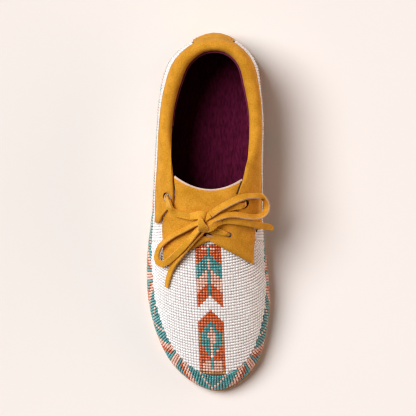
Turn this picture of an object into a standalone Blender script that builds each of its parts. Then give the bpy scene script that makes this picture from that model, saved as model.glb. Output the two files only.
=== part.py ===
"""Beaded moccasin for the right foot.

Metres, +Z up. The toe points along -Y, the heel along +Y and the inner side of the foot along +X.
The shoe stands on Z = 0, with the origin under the middle of its box.
"""

from collections import namedtuple
from functools import lru_cache
from math import acos, asin, cos, pi, radians, sin

import bmesh
import bpy
from mathutils import Vector

# Driving sizes of the shoe.
LENGTH = 0.265
BALL_WIDTH = 0.0924
INSTEP_RISE = 0.056  # top of the instep above the feather line, at mid length
SOLE_THICK = 0.004
WALL = 0.002
SUEDE = 0.0018
CUFF_SUEDE = 0.002
BEAD_LAYER = 0.0014  # room left for the beads, all round the sides and at the toe
HEEL_LAYER = 0.0025  # room left for the heel tab
GAP = 0.0003

# The plan runs about a line that leans a little towards the inner side.
AXIS_X_HEEL = 0.0049
AXIS_X_TOE = 0.0063

# Walking surface: flat under the heel and the ball, with a low arch and a toe spring.
TOE_SPRING = 0.004
SPRING_START_Y = -0.078
ARCH_RISE = 0.0015
ARCH_HEEL_Y = 0.045
ARCH_BALL_Y = -0.020

# One row for each section of the last. Angle 0 is the heel tip and 180 the toe tip. Outer and
# inner are half widths over those of an ellipse of the ball's width. Crown is the height over
# that of an ellipse of the instep's rise. Square is the exponent of the section's curve. Batter is
# how much both walls lean in for each unit of height, and lean is how far the crown stands
# towards the inner side.
Section = namedtuple("Section", "angle outer inner crown square batter lean")
SECTIONS = (
    Section(0, 1.150, 1.130, 2.05, 3.10, 0.030, 0.0000),
    Section(15, 1.260, 1.190, 1.98, 3.00, 0.045, 0.0006),
    Section(30, 1.380, 1.235, 1.88, 3.00, 0.055, 0.0010),
    Section(45, 1.220, 1.030, 1.66, 3.10, 0.050, 0.0013),
    Section(60, 1.080, 0.877, 1.52, 3.30, 0.045, 0.0014),
    Section(75, 1.020, 0.768, 1.14, 3.50, 0.040, 0.0017),
    Section(90, 1.030, 0.750, 1.00, 2.55, 0.030, 0.0024),
    Section(105, 1.155, 0.840, 0.82, 2.15, 0.030, 0.0029),
    Section(120, 1.265, 1.000, 0.725, 2.05, 0.030, 0.0026),
    Section(135, 1.330, 1.115, 0.675, 2.00, 0.030, 0.0021),
    Section(150, 1.367, 1.232, 0.585, 2.00, 0.030, 0.0015),
    Section(165, 1.283, 1.190, 0.470, 2.00, 0.030, 0.0008),
    Section(180, 1.170, 1.090, 0.430, 2.00, 0.030, 0.0000),
)
SECTION_STEP = 5
GIRTH_STEPS = 28
FIRST_GIRTH = 2  # a low first strip stands upright, so the wall's lower edge is level

# Height of the upper's top edge along the shoe, from the heel to the point of the throat.
Topline = namedtuple("Topline", "y height")
TOPLINE = (
    Topline(-0.002, 0.0640),
    Topline(0.003, 0.0610),
    Topline(0.008, 0.0580),
    Topline(0.014, 0.0550),
    Topline(0.022, 0.0525),
    Topline(0.035, 0.0508),
    Topline(0.050, 0.0500),
    Topline(0.065, 0.0495),
    Topline(0.085, 0.0510),
    Topline(0.110, 0.0550),
    Topline(0.131, 0.0580),
)

# Cuff: the height of its outer hem, and how far its roll reaches over the inside. Behind
# FLAP_BACK the cuff is a roll all the way round, and its two front flaps lie on the instep.
Cuff = namedtuple("Cuff", "y hem reach")
CUFF = (
    Cuff(-0.013, 0.0290, 1.00),
    Cuff(0.000, 0.0290, 1.00),
    Cuff(0.015, 0.0315, 1.00),
    Cuff(0.030, 0.0365, 1.00),
    Cuff(0.045, 0.0395, 1.00),
    Cuff(0.070, 0.0408, 1.02),
    Cuff(0.090, 0.0430, 1.15),
    Cuff(0.105, 0.0455, 1.12),
    Cuff(0.115, 0.0475, 0.98),
    Cuff(0.131, 0.0500, 0.75),
)
FlapEdge = namedtuple("FlapEdge", "y x")
OUTER_FLAP = (
    FlapEdge(-0.0078, -0.0362),
    FlapEdge(-0.0030, -0.0346),
    FlapEdge(0.0010, -0.0320),
    FlapEdge(0.0040, -0.0278),
    FlapEdge(0.0075, -0.0260),
    FlapEdge(0.0145, -0.0261),
    FlapEdge(0.0250, -0.0267),
    FlapEdge(0.0360, -0.0272),
    FlapEdge(0.0590, -0.0278),
)
INNER_FLAP = (
    FlapEdge(-0.0125, 0.0352),
    FlapEdge(-0.0080, 0.0322),
    FlapEdge(-0.0030, 0.0275),
    FlapEdge(0.0015, 0.0222),
    FlapEdge(0.0060, 0.0208),
    FlapEdge(0.0145, 0.0230),
    FlapEdge(0.0250, 0.0268),
    FlapEdge(0.0360, 0.0286),
    FlapEdge(0.0590, 0.0305),
)
FLAP_FRONT = 0.027
FLAP_BACK = 0.060
FLAP_CLIMB = (0.02, 0.42)  # shares of a flap's width between which it climbs onto the tongue
FAN_Y = 0.090  # sections of the cuff fan out round this point at the heel
CUFF_SIDE_STEPS = 20
CUFF_FAN_STEPS = 18

# The cuff hangs from its roll down to the hem. Share is the place between hem and top edge, and
# gaps is how many gaps the cuff stands off the wall there.
HangPoint = namedtuple("HangPoint", "share gaps")
HANG = (HangPoint(0.0, 2.0), HangPoint(0.35, 2.6), HangPoint(0.70, 3.0))

# The roll's outer skin, from just above the top edge round to the inside. Out is away from the
# wall's outer face, and up is above its top edge.
RollPoint = namedtuple("RollPoint", "out up")
ROLL = (
    RollPoint(0.0031, 0.0008),
    RollPoint(0.0024, 0.0031),
    RollPoint(0.0006, 0.0047),
    RollPoint(-0.0014, 0.0052),
    RollPoint(-0.0034, 0.0046),
    RollPoint(-0.0050, 0.0029),
    RollPoint(-0.0057, 0.0004),
    RollPoint(-0.0057, -0.0040),
)
ROLL_INSIDE_DROP = 0.008
# The roll's inside gets shorter before the roll opens into a flap: by this share, from the
# second of these y to the first.
ROLL_TRIM = 0.28
ROLL_TRIM_SPAN = (0.045, 0.088)

# Tongue with its two front wings, as one flat piece bent over the instep. Rows of its side
# edges run from the back edge to the tips of the wings.
TongueSide = namedtuple("TongueSide", "along outer inner")
TONGUE_SIDES = (
    TongueSide(0.0, -0.0250, 0.0252),
    TongueSide(0.2, -0.0240, 0.0272),
    TongueSide(0.3, -0.0246, 0.0286),
    TongueSide(0.4, -0.0300, 0.0302),
    TongueSide(0.5, -0.0332, 0.0326),
    TongueSide(0.6, -0.0338, 0.0346),
    TongueSide(0.8, -0.0330, 0.0340),
    TongueSide(1.0, -0.0327, 0.0337),
)
TONGUE_BACK_OUTER_Y = 0.0260
TONGUE_BACK_MIDDLE_Y = 0.0163
TONGUE_BACK_INNER_Y = 0.0236
WING_TIP_Y = -0.0392
WING_NOTCH_Y = -0.0212
TONGUE_LIFT = 0.00035
WING_LIFT = 0.0017  # the wings lie over the beads
WING_CLIMB = (-0.013, -0.022)  # they rise to that lift between these two y
TONGUE_STEPS_ACROSS = 20
TONGUE_STEPS_ALONG = 13

# Eyelets: a slit in each flap of the cuff, and two holes near the notch of the tongue. Their
# cutters are upright and reach from below the leather to well above it.
Slit = namedtuple("Slit", "x y length width turn")
CUFF_SLITS = (
    Slit(-0.0295, 0.0093, 0.0100, 0.0056, 118),
    Slit(0.0264, 0.0052, 0.0080, 0.0056, 40),
)
TONGUE_SLITS = (
    Slit(0.0152, -0.0171, 0.0046, 0.0038, 0),
    Slit(-0.0002, -0.0172, 0.0080, 0.0032, -12),
)

CUFF_CUTTER_HEIGHTS = (0.030, 0.090)
TONGUE_CUTTER_HEIGHTS = (0.040, 0.080)
SLIT_SIDES = 14

# Lace: a flat suede thong. Its stretches that lie on the tongue are bars. Each row has a place in
# the plan, how far the thong's middle is above the last, and the thong's width there.
LACE_WIDTH = 0.0052
LACE_THICK = 0.0018
BAR_STEP = 0.0025
BarPoint = namedtuple("BarPoint", "x y lift width")
CROSS_BAR = (
    BarPoint(-0.0301, 0.0107, 0.0036, 0.0036),
    BarPoint(-0.0295, 0.0092, 0.0047, 0.0040),
    BarPoint(-0.0290, 0.0072, 0.0058, 0.0046),
    BarPoint(-0.0283, 0.0042, 0.0060, LACE_WIDTH),
    BarPoint(-0.0270, 0.0014, 0.0059, LACE_WIDTH),
    BarPoint(-0.0243, -0.0007, 0.0044, LACE_WIDTH),
    BarPoint(-0.0199, -0.0019, 0.0037, LACE_WIDTH),
    BarPoint(-0.0104, -0.0040, 0.0036, LACE_WIDTH),
    BarPoint(-0.0034, -0.0060, 0.0035, LACE_WIDTH),
    BarPoint(0.0020, -0.0040, 0.0035, LACE_WIDTH),
    BarPoint(0.0085, -0.0003, 0.0035, LACE_WIDTH),
    BarPoint(0.0140, 0.0024, 0.0037, LACE_WIDTH),
    BarPoint(0.0185, 0.0036, 0.0049, 0.0048),
    BarPoint(0.0225, 0.0040, 0.0059, 0.0044),
    BarPoint(0.0250, 0.0042, 0.0056, 0.0040),
    BarPoint(0.0264, 0.0052, 0.0047, 0.0038),
    BarPoint(0.0274, 0.0061, 0.0037, 0.0034),
)
FRONT_BAR = (
    BarPoint(-0.0040, -0.0050, 0.0037, 0.0044),
    BarPoint(-0.0014, -0.0102, 0.0037, 0.0044),
    BarPoint(0.0026, -0.0131, 0.0037, 0.0042),
    BarPoint(0.0075, -0.0144, 0.0037, 0.0040),
    BarPoint(0.0108, -0.0154, 0.0039, 0.0036),
    BarPoint(0.0134, -0.0164, 0.0042, 0.0028),
    BarPoint(0.0151, -0.0171, 0.0033, 0.0022),
)

# The bow: routes of its knot, its two loops and its two ends. Each is a round tube as thick as
# the folded thong, and the knot is a fatter one with narrow ends.
CORD_WIDTH = 0.003
KNOT_WIDTH = 0.0068
KNOT_END = 0.6
CORD_STEP = 0.0038
RoutePoint = namedtuple("RoutePoint", "x y z")
KNOT = (
    RoutePoint(-0.0052, -0.0030, 0.0682),
    RoutePoint(-0.0049, -0.0062, 0.0680),
    RoutePoint(-0.0042, -0.0096, 0.0668),
    RoutePoint(-0.0031, -0.0128, 0.0648),
)
OUTER_LOOP = (
    RoutePoint(-0.0098, -0.0093, 0.0642),
    RoutePoint(-0.0153, -0.0123, 0.0600),
    RoutePoint(-0.0194, -0.0144, 0.0570),
    RoutePoint(-0.0256, -0.0177, 0.0522),
    RoutePoint(-0.0305, -0.0212, 0.0477),
    RoutePoint(-0.0348, -0.0252, 0.0428),
    RoutePoint(-0.0370, -0.0298, 0.0388),
    RoutePoint(-0.0377, -0.0340, 0.0370),
    RoutePoint(-0.0366, -0.0372, 0.0372),
    RoutePoint(-0.0340, -0.0384, 0.0396),
    RoutePoint(-0.0308, -0.0374, 0.0440),
    RoutePoint(-0.0260, -0.0336, 0.0500),
    RoutePoint(-0.0194, -0.0274, 0.0558),
    RoutePoint(-0.0148, -0.0224, 0.0592),
    RoutePoint(-0.0104, -0.0172, 0.0622),
    RoutePoint(-0.0080, -0.0142, 0.0638),
)
OUTER_END = (
    RoutePoint(-0.0056, -0.0156, 0.0602),
    RoutePoint(-0.0106, -0.0206, 0.0582),
    RoutePoint(-0.0172, -0.0284, 0.0536),
    RoutePoint(-0.0224, -0.0346, 0.0489),
    RoutePoint(-0.0256, -0.0396, 0.0438),
    RoutePoint(-0.0277, -0.0444, 0.0398),
    RoutePoint(-0.0295, -0.0504, 0.0368),
    RoutePoint(-0.0304, -0.0558, 0.0347),
)
INNER_LOOP = (
    RoutePoint(0.0018, -0.0024, 0.0688),
    RoutePoint(0.0078, 0.0018, 0.0689),
    RoutePoint(0.0130, 0.0048, 0.0690),
    RoutePoint(0.0184, 0.0076, 0.0686),
    RoutePoint(0.0230, 0.0096, 0.0674),
    RoutePoint(0.0278, 0.0110, 0.0648),
    RoutePoint(0.0326, 0.0115, 0.0608),
    RoutePoint(0.0372, 0.0111, 0.0566),
    RoutePoint(0.0408, 0.0096, 0.0532),
    RoutePoint(0.0428, 0.0068, 0.0510),
    RoutePoint(0.0434, 0.0034, 0.0498),
    RoutePoint(0.0426, 0.0002, 0.0494),
    RoutePoint(0.0402, -0.0024, 0.0504),
    RoutePoint(0.0352, -0.0040, 0.0540),
    RoutePoint(0.0287, -0.0037, 0.0590),
    RoutePoint(0.0208, -0.0024, 0.0642),
    RoutePoint(0.0144, -0.0026, 0.0666),
    RoutePoint(0.0086, -0.0042, 0.0671),
    RoutePoint(0.0040, -0.0062, 0.0671),
)
INNER_END = (
    RoutePoint(0.0040, -0.0096, 0.0636),
    RoutePoint(0.0084, -0.0076, 0.0632),
    RoutePoint(0.0142, -0.0066, 0.0622),
    RoutePoint(0.0230, -0.0074, 0.0592),
    RoutePoint(0.0310, -0.0088, 0.0542),
    RoutePoint(0.0372, -0.0100, 0.0480),
    RoutePoint(0.0422, -0.0108, 0.0414),
    RoutePoint(0.0454, -0.0116, 0.0356),
    RoutePoint(0.0474, -0.0127, 0.0308),
)

# Strip over the back seam: its outer and inner edge.
HEEL_TAB_SIDES = (-0.0122, 0.0200)
HEEL_TAB_STEPS = 6

# Insets from the shoe's outline: at the sides, at the heel tip and at the toe tip.
SOLE_INSETS = (0.0005, 0.0, 0.0)
INSOLE_INSETS = (0.0050, 0.0054, 0.0058)
INSOLE_THICK = 0.0025

# Faces meeting at more than this angle keep a crisp edge, in degrees.
CRISP = 40
MERGE = 0.00001
# Step for the last's normal, in degrees of angle and girth, and how near to its poles it goes.
NORMAL_STEP = 0.25
POLE = 0.5
# Farther than any level line inside the last.
LEVEL_REACH = 0.08
# The block that trims the upper above its top edge.
TRIM_BACK_Y = 0.150
TRIM_HALF_WIDTH = 0.07
TRIM_TOP = 0.15
TRIM_STEPS = 40
TRIM_CROWD = 1.5  # steps get shorter towards the throat


def clear_scene():
    for found in list(bpy.data.objects):
        bpy.data.objects.remove(found, do_unlink=True)


def through(keys, values, at):
    """A smooth curve through a table: cubic pieces that share their slopes."""
    if at <= keys[0]:
        return values[0]
    if at >= keys[-1]:
        return values[-1]
    low = max(i for i in range(len(keys) - 1) if keys[i] <= at)

    def slope(i):
        before, after = max(i - 1, 0), min(i + 1, len(keys) - 1)
        return (values[after] - values[before]) / (keys[after] - keys[before])

    span = keys[low + 1] - keys[low]
    t = (at - keys[low]) / span
    start, end = values[low], values[low + 1]
    return (
        start * (2 * t**3 - 3 * t**2 + 1)
        + slope(low) * span * (t**3 - 2 * t**2 + t)
        + end * (3 * t**2 - 2 * t**3)
        + slope(low + 1) * span * (t**3 - t**2)
    )


@lru_cache(maxsize=None)
def column_lists(rows, key, value):
    return [getattr(row, key) for row in rows], [getattr(row, value) for row in rows]


def column(rows, key, value, at):
    return through(*column_lists(rows, key, value), at)


def lengths_along(rows):
    """The distance along a line to each of its points, by its rows' first three columns."""
    lengths = [0.0]
    for before, after in zip(rows, rows[1:]):
        lengths.append(lengths[-1] + (Vector(after[:3]) - Vector(before[:3])).length)
    return lengths


def shares_of(rows):
    """How far along its line each point is, as a share of the line's length."""
    lengths = lengths_along(rows)
    return [length / lengths[-1] for length in lengths]


def at_shares(rows, shares):
    """Points of the smooth line through rows, at these shares of its length."""
    keys = shares_of(rows)
    columns = [list(values) for values in zip(*rows)]
    return [Vector([through(keys, values, share) for values in columns]) for share in shares]


def ease(low, high, at):
    """0 below low, 1 above high, and a smooth ramp between."""
    t = min(max((at - low) / (high - low), 0.0), 1.0)
    return t * t * (3 - 2 * t)


def tread(y):
    """Height of the sole's underside."""
    if ARCH_BALL_Y < y < ARCH_HEEL_Y:
        t = (y - ARCH_BALL_Y) / (ARCH_HEEL_Y - ARCH_BALL_Y)
        return ARCH_RISE * sin(pi * t) ** 2
    if y < SPRING_START_Y:
        return TOE_SPRING * ((SPRING_START_Y - y) / (SPRING_START_Y + LENGTH / 2)) ** 2
    return 0.0


def feather(y):
    """Height of the upper's lower edge."""
    return tread(y) + SOLE_THICK + GAP


def plan(angle, inset, heel_inset, toe_inset):
    """The outer and inner edge of the plan at one section: outer x, inner x, y."""
    y = (LENGTH / 2 - (heel_inset if angle < 90 else toe_inset)) * cos(radians(angle))
    axis = AXIS_X_HEEL + (AXIS_X_TOE - AXIS_X_HEEL) * (0.5 - y / LENGTH)
    half = (BALL_WIDTH / 2 - inset) * sin(radians(angle))
    outer = axis - half * column(SECTIONS, "angle", "outer", angle)
    inner = axis + half * column(SECTIONS, "angle", "inner", angle)
    return outer, inner, y


@lru_cache(maxsize=4096)
def section(angle):
    """One section of the last: its middle, half width, y, crown, batter, lean and power."""
    outer, inner, y = plan(angle, BEAD_LAYER, HEEL_LAYER, BEAD_LAYER)
    power = 2 / column(SECTIONS, "angle", "square", angle)
    crown = INSTEP_RISE * column(SECTIONS, "angle", "crown", angle)
    crown *= max(sin(radians(angle)), 0.0) ** power
    batter = column(SECTIONS, "angle", "batter", angle)
    lean = column(SECTIONS, "angle", "lean", angle)
    return (outer + inner) / 2, (inner - outer) / 2, y, crown, batter, lean, power


def last(angle, girth):
    """A point on the last. Girth goes from 0 at the outer feather line to 180 at the inner."""
    middle, half, y, crown, batter, lean, power = section(angle)
    across, up = cos(radians(girth)), max(sin(radians(girth)), 0.0)
    rise = up**power
    side = abs(across) ** power * (1 if across > 0 else -1)
    x = middle - (half - batter * crown * rise) * side + lean * rise
    return Vector((x, y, feather(y) + crown * rise))


def last_angle(y):
    reach = LENGTH / 2 - (HEEL_LAYER if y > 0 else BEAD_LAYER)
    return acos(max(min(y / reach, 1.0), -1.0)) * 180 / pi


def last_middle(y):
    """The middle of the last's plan at this y."""
    return Vector((section(last_angle(y))[0], y))


def solve(low, high, is_low):
    """The value between low and high where is_low stops being true."""
    for _ in range(28):
        middle = (low + high) / 2
        if is_low(middle):
            low = middle
        else:
            high = middle
    return (low + high) / 2


def girth_at(x, y):
    angle = last_angle(y)
    return solve(0.0, 180.0, lambda girth: last(angle, girth).x < x)


def last_normal(angle, girth):
    low_angle, high_angle = max(angle - NORMAL_STEP, POLE), min(angle + NORMAL_STEP, 180 - POLE)
    low_girth, high_girth = max(girth - NORMAL_STEP, POLE), min(girth + NORMAL_STEP, 180 - POLE)
    along = last(high_angle, girth) - last(low_angle, girth)
    around = last(angle, high_girth) - last(angle, low_girth)
    return along.cross(around).normalized()


def over_last(x, y, lift):
    """The point that is lift away from the last's face and stands at this place in the plan."""
    foot = Vector((x, y))
    for _ in range(5):
        angle, girth = last_angle(foot.y), girth_at(foot.x, foot.y)
        point = last(angle, girth) + lift * last_normal(angle, girth)
        foot -= point.xy - Vector((x, y))
    return point


def last_height(x, y):
    """The last's height at a place in the plan, or the feather line's outside the plan."""
    angle = last_angle(y)
    if not 0 < angle < 180 or not last(angle, 0).x < x < last(angle, 180).x:
        return feather(y)
    return last(angle, girth_at(x, y)).z


def wall_at(start, way, height):
    """Where a level line from start, along way, leaves the last at this height."""
    reach = solve(0.0, LEVEL_REACH, lambda far: last_height(*(start + far * way)) > height)
    spot = start + reach * way
    return Vector((spot.x, spot.y, height))


def make_object(name, mesh, material):
    made = bpy.data.objects.new(name, mesh)
    bpy.context.scene.collection.objects.link(made)
    mesh.materials.append(material)
    mesh.shade_smooth()
    mesh.set_sharp_from_angle(angle=radians(CRISP))
    return made


def mesh_from(name, bm):
    bmesh.ops.remove_doubles(bm, verts=bm.verts, dist=MERGE)
    bmesh.ops.recalc_face_normals(bm, faces=bm.faces)
    mesh = bpy.data.meshes.new(name)
    bm.to_mesh(mesh)
    bm.free()
    return mesh


def add_grid(bm, rows):
    """Faces between neighbouring rows of points."""
    lines = [[bm.verts.new(point) for point in row] for row in rows]
    for first, second in zip(lines, lines[1:]):
        for a, b, c, d in zip(first, first[1:], second[1:], second):
            bm.faces.new((a, b, c, d))
    return lines


def solidify(made, thickness, offset):
    modifier = made.modifiers.new("Wall", "SOLIDIFY")
    modifier.thickness = thickness
    modifier.offset = offset
    modifier.use_even_offset = True
    return modifier


def cut(made, cutter):
    cutter.hide_render = True
    cutter.display_type = "WIRE"
    modifier = made.modifiers.new("Cut", "BOOLEAN")
    modifier.operation = "DIFFERENCE"
    modifier.solver = "EXACT"
    modifier.object = cutter


def paint(name, colour, roughness, metallic=0.0):
    material = bpy.data.materials.new(name)
    material.use_nodes = True
    shader = material.node_tree.nodes["Principled BSDF"]
    shader.inputs["Base Color"].default_value = (*colour, 1.0)
    shader.inputs["Roughness"].default_value = roughness
    shader.inputs["Metallic"].default_value = metallic
    return material


def slab(name, insets, bottom, thickness, edge, segments, material):
    """A flat piece of the plan's outline, bent along the tread, with rounded edges."""
    bm = bmesh.new()
    rows = []
    for angle in range(0, 181, SECTION_STEP):
        outer, inner, y = plan(angle, *insets)
        rows.append([Vector((x, y, bottom(y))) for x in (outer, inner)])
    add_grid(bm, rows)
    bmesh.ops.remove_doubles(bm, verts=bm.verts, dist=MERGE)
    bmesh.ops.recalc_face_normals(bm, faces=bm.faces)
    top = bmesh.ops.extrude_face_region(bm, geom=bm.faces[:])["geom"]
    top = [part for part in top if isinstance(part, bmesh.types.BMVert)]
    bmesh.ops.translate(bm, verts=top, vec=(0, 0, thickness))
    bmesh.ops.recalc_face_normals(bm, faces=bm.faces)
    rims = [
        side
        for side in bm.edges
        if len(side.link_faces) == 2 and side.calc_face_angle() > radians(60)
        and abs(side.verts[0].co.z - side.verts[1].co.z) < thickness / 2
    ]
    bmesh.ops.bevel(
        bm, geom=rims, offset=edge, offset_type="OFFSET", affect="EDGES",
        segments=segments, profile=0.5, material=-1,
    )
    return make_object(name, mesh_from(name, bm), material)


def topline_cutter(material):
    """Everything above the top edge, behind the point of the throat."""
    front, back = TOPLINE[0].y, TRIM_BACK_Y
    places = [front + (back - front) * (i / TRIM_STEPS) ** TRIM_CROWD for i in range(TRIM_STEPS + 1)]
    side = [Vector((-TRIM_HALF_WIDTH, y, column(TOPLINE, "y", "height", y))) for y in places]
    side += [Vector((-TRIM_HALF_WIDTH, y, TRIM_TOP)) for y in (back, front)]
    bm = bmesh.new()
    face = bm.faces.new([bm.verts.new(point) for point in side])
    other = bmesh.ops.extrude_face_region(bm, geom=[face])["geom"]
    other = [part for part in other if isinstance(part, bmesh.types.BMVert)]
    bmesh.ops.translate(bm, verts=other, vec=(2 * TRIM_HALF_WIDTH, 0, 0))
    return make_object("topline_cutter", mesh_from("topline_cutter", bm), material)


def build_upper(material, cutter_material):
    """The last's skin as one wall, open at the collar and underneath."""
    girths = [180 * i / GIRTH_STEPS for i in range(GIRTH_STEPS + 1)]
    girths = sorted(girths + [FIRST_GIRTH, 180 - FIRST_GIRTH])
    bm = bmesh.new()
    add_grid(bm, [[last(angle, girth) for girth in girths] for angle in range(0, 181, SECTION_STEP)])
    mesh = mesh_from("upper", bm)
    upper = make_object("upper", mesh, material)
    if sum(face.normal.z * face.area for face in mesh.polygons) < 0:
        mesh.flip_normals()
    solidify(upper, WALL, -1)
    cut(upper, topline_cutter(cutter_material))
    return upper


def cuff_section(start, way, flap):
    """The cuff's outer skin across one place, from its hem over the top edge to the inside."""
    out = way.to_3d()
    y_here = wall_at(start, way, column(TOPLINE, "y", "height", start.y)).y
    top = column(TOPLINE, "y", "height", y_here)
    hem = column(CUFF, "y", "hem", y_here)
    reach = column(CUFF, "y", "reach", y_here)
    edge = wall_at(start, way, top)
    skin = []
    for share, gaps in HANG:
        skin.append(wall_at(start, way, hem + share * (top - hem)) + (gaps * GAP + CUFF_SUEDE) * out)
    for point in ROLL:
        far = point.out if point.out > 0 else point.out * reach
        skin.append(edge + far * out + Vector((0, 0, point.up)))
    low = wall_at(start, way, top - ROLL_INSIDE_DROP)
    skin.append(low - (WALL + 3 * GAP + CUFF_SUEDE) * out)
    kept = 1 - ROLL_TRIM * (1 - ease(*ROLL_TRIM_SPAN, start.y))
    skin = at_shares(skin, [kept * share for share in shares_of(skin)])
    if flap is None:
        return skin
    weight = 1 - ease(FLAP_FRONT, FLAP_BACK, start.y)
    return [a.lerp(b, weight) for a, b in zip(skin, flap)]


def flap_section(y, rows, count):
    """A flap's outer skin, bent over the instep from its hem to its inner edge."""
    angle = last_angle(y)
    edge_x = column(rows, "y", "x", y)
    hem = column(CUFF, "y", "hem", y)
    edge_lift = GAP + CUFF_SUEDE + TONGUE_LIFT + SUEDE
    foot = 0.0 if edge_x < 0 else 180.0
    low = solve(foot, 90.0, lambda girth: last(angle, girth).z < hem)

    def short_of_edge(girth):
        x = (last(angle, girth) + edge_lift * last_normal(angle, girth)).x
        return abs(x) > abs(edge_x)

    high = solve(foot, 90.0, short_of_edge)
    skin = []
    for i in range(count):
        t = i / (count - 1)
        girth = low + (high - low) * t
        lift = GAP + CUFF_SUEDE + (TONGUE_LIFT + SUEDE) * ease(*FLAP_CLIMB, t)
        skin.append(last(angle, girth) + lift * last_normal(angle, girth))
    return skin


def cuff_rows():
    count = len(HANG) + len(ROLL) + 1
    rows = []

    def side(front, rows_of_edge, way):
        found = []
        for i in range(CUFF_SIDE_STEPS + 1):
            y = front + (FAN_Y - front) * i / CUFF_SIDE_STEPS
            start = last_middle(y)
            flap = flap_section(y, rows_of_edge, count) if y < FLAP_BACK else None
            if y <= FLAP_FRONT:
                found.append(flap)
            else:
                found.append(cuff_section(start, way, flap))
        return found

    centre = last_middle(FAN_Y)
    rows += side(OUTER_FLAP[0].y, OUTER_FLAP, Vector((-1.0, 0.0)))
    for i in range(1, CUFF_FAN_STEPS):
        turn = pi * i / CUFF_FAN_STEPS
        rows.append(cuff_section(centre, Vector((-cos(turn), sin(turn))), None))
    rows += reversed(side(INNER_FLAP[0].y, INNER_FLAP, Vector((1.0, 0.0))))
    return rows


def slit_cutter(name, slit, heights, material):
    """An upright oval prism for an eyelet."""
    bm = bmesh.new()
    bmesh.ops.create_cone(
        bm, cap_ends=True, segments=SLIT_SIDES, radius1=0.5, radius2=0.5, depth=1.0,
    )
    bottom, top = heights
    bmesh.ops.scale(bm, verts=bm.verts, vec=(slit.length, slit.width, top - bottom))
    turn = radians(slit.turn)
    for vert in bm.verts:
        x, y = vert.co.x, vert.co.y
        vert.co.x = slit.x + x * cos(turn) - y * sin(turn)
        vert.co.y = slit.y + x * sin(turn) + y * cos(turn)
        vert.co.z += (top + bottom) / 2
    return make_object(name, mesh_from(name, bm), material)


def build_cuff(material, cutter_material):
    bm = bmesh.new()
    add_grid(bm, cuff_rows())
    mesh = mesh_from("cuff", bm)
    cuff = make_object("cuff", mesh, material)
    highest = max(mesh.polygons, key=lambda face: face.center.z)
    if highest.normal.z < 0:
        mesh.flip_normals()
    solidify(cuff, CUFF_SUEDE, -1)
    for i, slit in enumerate(CUFF_SLITS):
        cut(cuff, slit_cutter(f"cuff_slit_cutter_{i}", slit, CUFF_CUTTER_HEIGHTS, cutter_material))
    return cuff


def tongue_point(s, t):
    """A place on the tongue's face: s goes from its outer to its inner side, t to its tips."""
    bow = 1 - (2 * s - 1) ** 2
    back = (1 - s) * TONGUE_BACK_OUTER_Y + s * TONGUE_BACK_INNER_Y
    middle = (TONGUE_BACK_OUTER_Y + TONGUE_BACK_INNER_Y) / 2
    back -= bow * (middle - TONGUE_BACK_MIDDLE_Y)
    front = WING_TIP_Y + (WING_NOTCH_Y - WING_TIP_Y) * (1 - abs(2 * s - 1))
    y = back + (front - back) * t
    outer = column(TONGUE_SIDES, "along", "outer", t)
    inner = column(TONGUE_SIDES, "along", "inner", t)
    x = outer + (inner - outer) * s
    climb_start, climb_end = WING_CLIMB
    lift = WING_LIFT + (TONGUE_LIFT - WING_LIFT) * ease(climb_end, climb_start, y)
    return over_last(x, y, lift + SUEDE)


def build_tongue(material, cutter_material):
    bm = bmesh.new()
    rows = []
    for j in range(TONGUE_STEPS_ALONG + 1):
        t = j / TONGUE_STEPS_ALONG
        rows.append([tongue_point(i / TONGUE_STEPS_ACROSS, t) for i in range(TONGUE_STEPS_ACROSS + 1)])
    add_grid(bm, rows)
    mesh = mesh_from("tongue", bm)
    tongue = make_object("tongue", mesh, material)
    if sum(face.normal.z * face.area for face in mesh.polygons) < 0:
        mesh.flip_normals()
    solidify(tongue, SUEDE, -1)
    for i, slit in enumerate(TONGUE_SLITS):
        cut(tongue, slit_cutter(f"tongue_slit_cutter_{i}", slit, TONGUE_CUTTER_HEIGHTS, cutter_material))
    return tongue


def build_heel_tab(material):
    """The strip over the back seam, from the sole up to the cuff's hem."""
    centre = last_middle(FAN_Y)
    first, final = [asin((side - centre.x) / (LENGTH / 2 - FAN_Y)) for side in HEEL_TAB_SIDES]
    bm = bmesh.new()
    rows = []
    for i in range(HEEL_TAB_STEPS + 1):
        turn = first + (final - first) * i / HEEL_TAB_STEPS
        way = Vector((sin(turn), cos(turn)))
        hem = column(CUFF, "y", "hem", wall_at(centre, way, CUFF[-1].hem).y) - 4 * GAP
        low = feather(centre.y) + GAP
        heights = [low + (hem - low) * j / HEEL_TAB_STEPS for j in range(HEEL_TAB_STEPS + 1)]
        rows.append([wall_at(centre, way, z) + 2 * GAP * way.to_3d() for z in heights])
    add_grid(bm, rows)
    mesh = mesh_from("heel_tab", bm)
    tab = make_object("heel_tab", mesh, material)
    if sum(face.normal.y * face.area for face in mesh.polygons) < 0:
        mesh.flip_normals()
    solidify(tab, SUEDE, 1)
    return tab


def along_route(rows, step):
    """A smooth line through a route's rows, as rows of all their columns about a step apart."""
    count = round(lengths_along(rows)[-1] / step)
    return at_shares(rows, [i / count for i in range(count + 1)])


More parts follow.
